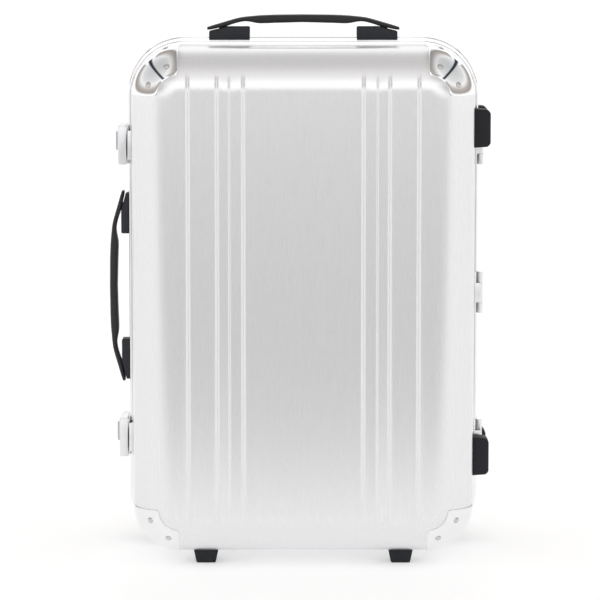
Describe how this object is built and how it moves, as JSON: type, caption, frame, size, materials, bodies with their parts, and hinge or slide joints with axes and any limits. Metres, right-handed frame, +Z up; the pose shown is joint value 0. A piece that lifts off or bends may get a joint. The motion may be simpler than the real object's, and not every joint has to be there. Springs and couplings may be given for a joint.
{
  "type": "hard shell suitcase",
  "caption": "Upright hard shell cabin case of ribbed aluminium with a hinged lid, draw latches, strap handles, riveted chrome corners, wheels and a telescopic pull handle.",
  "frame": {"origin": "on the floor, under the middle of the whole case", "axes": "+X to the hinge side, -Y to the lid's face, +Z up"},
  "size_m": [0.3936, 0.233, 0.56],
  "materials": {
    "shell_sheet": "vertically brushed and clear anodised sheet",
    "frame_rail": "polished extrusion",
    "chrome_plate": "mirror polished",
    "rivet_steel": "satin",
    "hinge_metal": "satin",
    "latch_metal": "bead blasted and anodised",
    "dial_plastic": "grey moulded rings with grip notches",
    "foot_rubber": "matt moulded rubber",
    "black_plastic": "fine grained moulding",
    "strap_skin": "soft satin cover over a spring core",
    "grip_plastic": "soft touch",
    "button_plastic": "satin silver",
    "tube_metal": "satin anodised tube",
    "lining_fabric": "woven lining",
    "webbing": "woven webbing",
    "hub_plastic": "moulded",
    "tyre": "moulded tread"
  },
  "bodies": {
    "base": {"back_shell": "shell_sheet", "back_frame": "frame_rail", "frame_seal": "foot_rubber", "back_protector_left": "chrome_plate", "back_protector_right": "chrome_plate", "back_rivets": "rivet_steel", "hinge_base_leaves": "hinge_metal", "hinge_pins": "rivet_steel", "latch_base_upper": "latch_metal", "latch_base_lower": "latch_metal", "latch_pins": "rivet_steel", "top_handle_mounts": "black_plastic", "side_handle_mounts": "black_plastic", "base_side_feet": "foot_rubber", "base_lining_floor": "lining_fabric", "base_lining_walls": "lining_fabric", "wheel_housing_left": "black_plastic", "wheel_housing_right": "black_plastic", "wheel_axles": "rivet_steel", "wheel_bearings": "rivet_steel", "trolley_outer_tubes": "tube_metal", "trolley_cup": "black_plastic", "packing_straps": "webbing", "strap_buckles": "black_plastic"},
    "lid": {"front_shell": "shell_sheet", "front_frame": "frame_rail", "front_protector_top_left": "chrome_plate", "front_protector_top_right": "chrome_plate", "front_protector_bottom_left": "chrome_plate", "front_protector_bottom_right": "chrome_plate", "front_rivets": "rivet_steel", "hinge_lid_leaves": "hinge_metal", "latch_keeper_upper": "latch_metal", "latch_keeper_lower": "latch_metal", "lid_side_feet": "foot_rubber", "bottom_feet": "foot_rubber", "lid_lining": "lining_fabric"},
    "lever_upper": {"latch_lever_upper": "latch_metal", "dial_spindle_upper": "rivet_steel"},
    "lever_lower": {"latch_lever_lower": "latch_metal", "dial_spindle_lower": "rivet_steel"},
    "top_handle": {"top_handle_strap": "strap_skin"},
    "side_handle": {"side_handle_strap": "strap_skin"},
    "trolley_mid": {"trolley_mid_tubes": "tube_metal"},
    "trolley_inner": {"trolley_inner_tubes": "tube_metal", "trolley_grip": "grip_plastic"},
    "release_button": {"release_button": "button_plastic"},
    "wheel_left": {"wheel_hub_left": "hub_plastic", "wheel_tyre_left": "tyre"},
    "wheel_right": {"wheel_hub_right": "hub_plastic", "wheel_tyre_right": "tyre"},
    "dial_upper_1": {"dial_upper_1": "dial_plastic"},
    "dial_upper_2": {"dial_upper_2": "dial_plastic"},
    "dial_upper_3": {"dial_upper_3": "dial_plastic"},
    "dial_lower_1": {"dial_lower_1": "dial_plastic"},
    "dial_lower_2": {"dial_lower_2": "dial_plastic"},
    "dial_lower_3": {"dial_lower_3": "dial_plastic"}
  },
  "joints": [
    {"name": "lid_hinge", "type": "hinge", "parent": "base", "child": "lid", "pos_m": [0.1888, 0, 0.272], "axis": [0, 0, 1], "range_deg": [0, 110]},
    {"name": "lever_upper_turn", "type": "hinge", "parent": "base", "child": "lever_upper", "pos_m": [-0.1821, 0.036, 0.426], "axis": [0, 0, -1], "range_deg": [0, 100]},
    {"name": "dial_upper_1_spin", "type": "hinge", "parent": "lever_upper", "child": "dial_upper_1", "pos_m": [-0.1849, 0.015, 0.429], "axis": [0, 0, 1], "continuous": true},
    {"name": "dial_upper_2_spin", "type": "hinge", "parent": "lever_upper", "child": "dial_upper_2", "pos_m": [-0.1849, 0.015, 0.429], "axis": [0, 0, 1], "continuous": true},
    {"name": "dial_upper_3_spin", "type": "hinge", "parent": "lever_upper", "child": "dial_upper_3", "pos_m": [-0.1849, 0.015, 0.429], "axis": [0, 0, 1], "continuous": true},
    {"name": "lever_lower_turn", "type": "hinge", "parent": "base", "child": "lever_lower", "pos_m": [-0.1821, 0.036, 0.121], "axis": [0, 0, -1], "range_deg": [0, 100]},
    {"name": "dial_lower_1_spin", "type": "hinge", "parent": "lever_lower", "child": "dial_lower_1", "pos_m": [-0.1849, 0.015, 0.124], "axis": [0, 0, 1], "continuous": true},
    {"name": "dial_lower_2_spin", "type": "hinge", "parent": "lever_lower", "child": "dial_lower_2", "pos_m": [-0.1849, 0.015, 0.124], "axis": [0, 0, 1], "continuous": true},
    {"name": "dial_lower_3_spin", "type": "hinge", "parent": "lever_lower", "child": "dial_lower_3", "pos_m": [-0.1849, 0.015, 0.124], "axis": [0, 0, 1], "continuous": true},
    {"name": "top_handle_lift", "type": "slide", "parent": "base", "child": "top_handle", "axis": [0, 0, 1], "range_m": [0, 0.005]},
    {"name": "side_handle_lift", "type": "slide", "parent": "base", "child": "side_handle", "axis": [-1, 0, 0], "range_m": [0, 0.005]},
    {"name": "trolley_mid_slide", "type": "slide", "parent": "base", "child": "trolley_mid", "axis": [0, 0, 1], "range_m": [0, 0.225]},
    {"name": "trolley_inner_slide", "type": "slide", "parent": "trolley_mid", "child": "trolley_inner", "axis": [0, 0, 1], "range_m": [0, 0.225]},
    {"name": "release_button_press", "type": "slide", "parent": "trolley_inner", "child": "release_button", "axis": [0, 0, -1], "range_m": [0, 0.004], "stiffness_N_per_m": 500, "springref_m": -0.002},
    {"name": "wheel_left_roll", "type": "hinge", "parent": "base", "child": "wheel_left", "pos_m": [-0.1332, 0.08, 0.025], "axis": [1, 0, 0], "continuous": true},
    {"name": "wheel_right_roll", "type": "hinge", "parent": "base", "child": "wheel_right", "pos_m": [0.1428, 0.08, 0.025], "axis": [1, 0, 0], "continuous": true}
  ]
}
